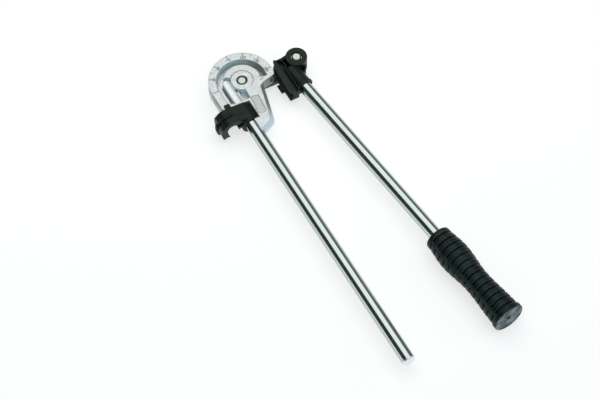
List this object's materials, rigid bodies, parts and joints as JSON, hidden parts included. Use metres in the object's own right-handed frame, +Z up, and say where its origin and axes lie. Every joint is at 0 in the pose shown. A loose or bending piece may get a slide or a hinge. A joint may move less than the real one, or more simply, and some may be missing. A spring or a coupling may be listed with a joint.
{
  "type": "pipe bender",
  "caption": "Hand pipe bender: grooved half-round former with degree scale on a fixed tube handle, swing-off hook, and a linked lever with grooved slide shoe and ribbed grip.",
  "frame": {"origin": "on the former's pivot axis, at the resting surface under the pin heads", "axes": "+Z up along the pivot, +Y away from the fixed handle, +X towards the lever; lever closed at the end of the scale"},
  "size_m": [0.1763, 0.4466, 0.0377],
  "materials": {
    "cast_aluminium": "tumbled casting, satin",
    "turned_aluminium": "turned",
    "plated_steel": "bright plated",
    "pin_steel": "turned, bright",
    "dark_steel": "blackened",
    "bronze": "sintered, oiled",
    "black_plastic": "moulded, satin",
    "shoe_plastic": "moulded, satin",
    "black_rubber": "moulded, matt"
  },
  "bodies": {
    "frame": {"bend_former": "cast_aluminium", "pivot_bush": "bronze", "pivot_top_washer": "dark_steel", "fixed_handle_tube": "plated_steel", "fixed_handle_plug": "turned_aluminium", "handle_cross_pin": "pin_steel"},
    "hook": {"pipe_hook": "black_plastic"},
    "link": {"swing_link": "dark_steel", "pivot_pin": "pin_steel", "pivot_retaining_ring": "dark_steel", "pivot_thrust_washer": "pin_steel", "eye_pin": "pin_steel", "eye_retaining_ring": "dark_steel", "eye_thrust_washer": "pin_steel"},
    "lever": {"lever_head": "black_plastic", "eye_bush": "bronze", "eye_top_washer": "pin_steel", "slide_shoe": "shoe_plastic", "shoe_lock_pin": "pin_steel", "lever_tube": "plated_steel", "lever_cross_pin": "pin_steel", "lever_grip": "black_rubber"}
  },
  "joints": [
    {"name": "link_swing", "type": "hinge", "parent": "frame", "child": "link", "pos_m": [0, 0, 0.019], "axis": [0, 0, 1], "range_deg": [0, 180]},
    {"name": "lever_pivot", "type": "hinge", "parent": "link", "child": "lever", "pos_m": [0.068, -0.004, 0.019], "axis": [0, 0, 1], "range_deg": [0, 80]},
    {"name": "hook_swing", "type": "hinge", "parent": "frame", "child": "hook", "pos_m": [-0.0167, -0.0385, 0.019], "axis": [0, 1, 0], "range_deg": [0, 85]}
  ]
}
